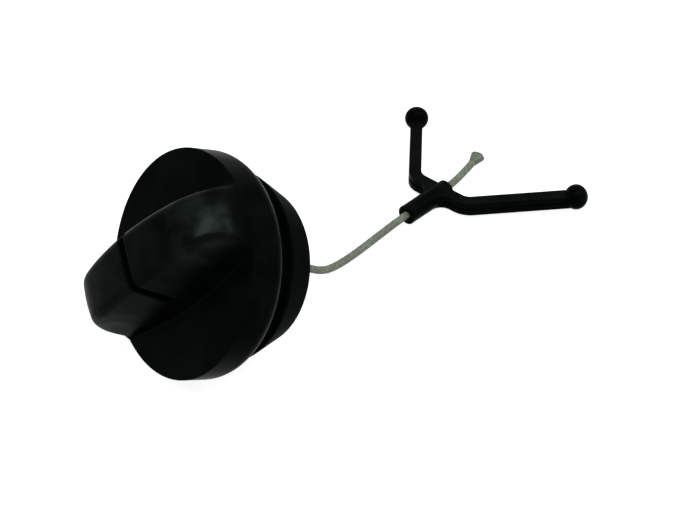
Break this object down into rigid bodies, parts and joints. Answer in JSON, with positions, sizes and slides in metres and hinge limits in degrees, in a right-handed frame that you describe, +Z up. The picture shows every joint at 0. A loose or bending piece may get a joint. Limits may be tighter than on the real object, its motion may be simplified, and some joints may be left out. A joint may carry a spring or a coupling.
{
  "type": "tethered fuel filler cap",
  "caption": "Round black screw-in fuel filler cap with a slotted finger fin, lying on its side, tied by a short braided cord to a two-armed keeper with ball ends.",
  "frame": {"origin": "bottom centre of the cap's bounding box, on the surface that it lies on", "axes": "+Z up from that surface, -X the side that the knob faces, +X the side that the cord and the keeper run to, Y across the cap"},
  "size_m": [0.1288, 0.0705, 0.0474],
  "materials": {
    "knob_plastic": "near-black moulded plastic, satin, with soft green-grey reflections",
    "sleeve_plastic": "near-black moulded plastic, satin",
    "gasket_rubber": "black nitrile rubber, matt",
    "swivel_plastic": "black moulded plastic, satin",
    "cord_braid": "braided polyamide cord, pale grey-green",
    "cord_melt": "cord end melted to a flat bead, dull grey-green",
    "keeper_plastic": "black moulded plastic, satin, with a parting groove along its arms"
  },
  "bodies": {
    "tether": {"tether_swivel": "swivel_plastic", "tether_cord": "cord_braid", "cord_end": "cord_melt"},
    "cap": {"grip": "knob_plastic", "screw_sleeve": "sleeve_plastic", "gasket": "gasket_rubber"},
    "keeper": {"keeper": "keeper_plastic"}
  },
  "joints": [
    {"name": "cap_turn", "type": "hinge", "parent": "tether", "child": "cap", "pos_m": [-0.00428, 0, 0.02483], "axis": [-0.8978, 0, 0.4404], "continuous": true},
    {"name": "keeper_slide", "type": "slide", "parent": "tether", "child": "keeper", "axis": [0.9781, 0.2079, 0], "range_m": [-0.004, 0.001]}
  ]
}
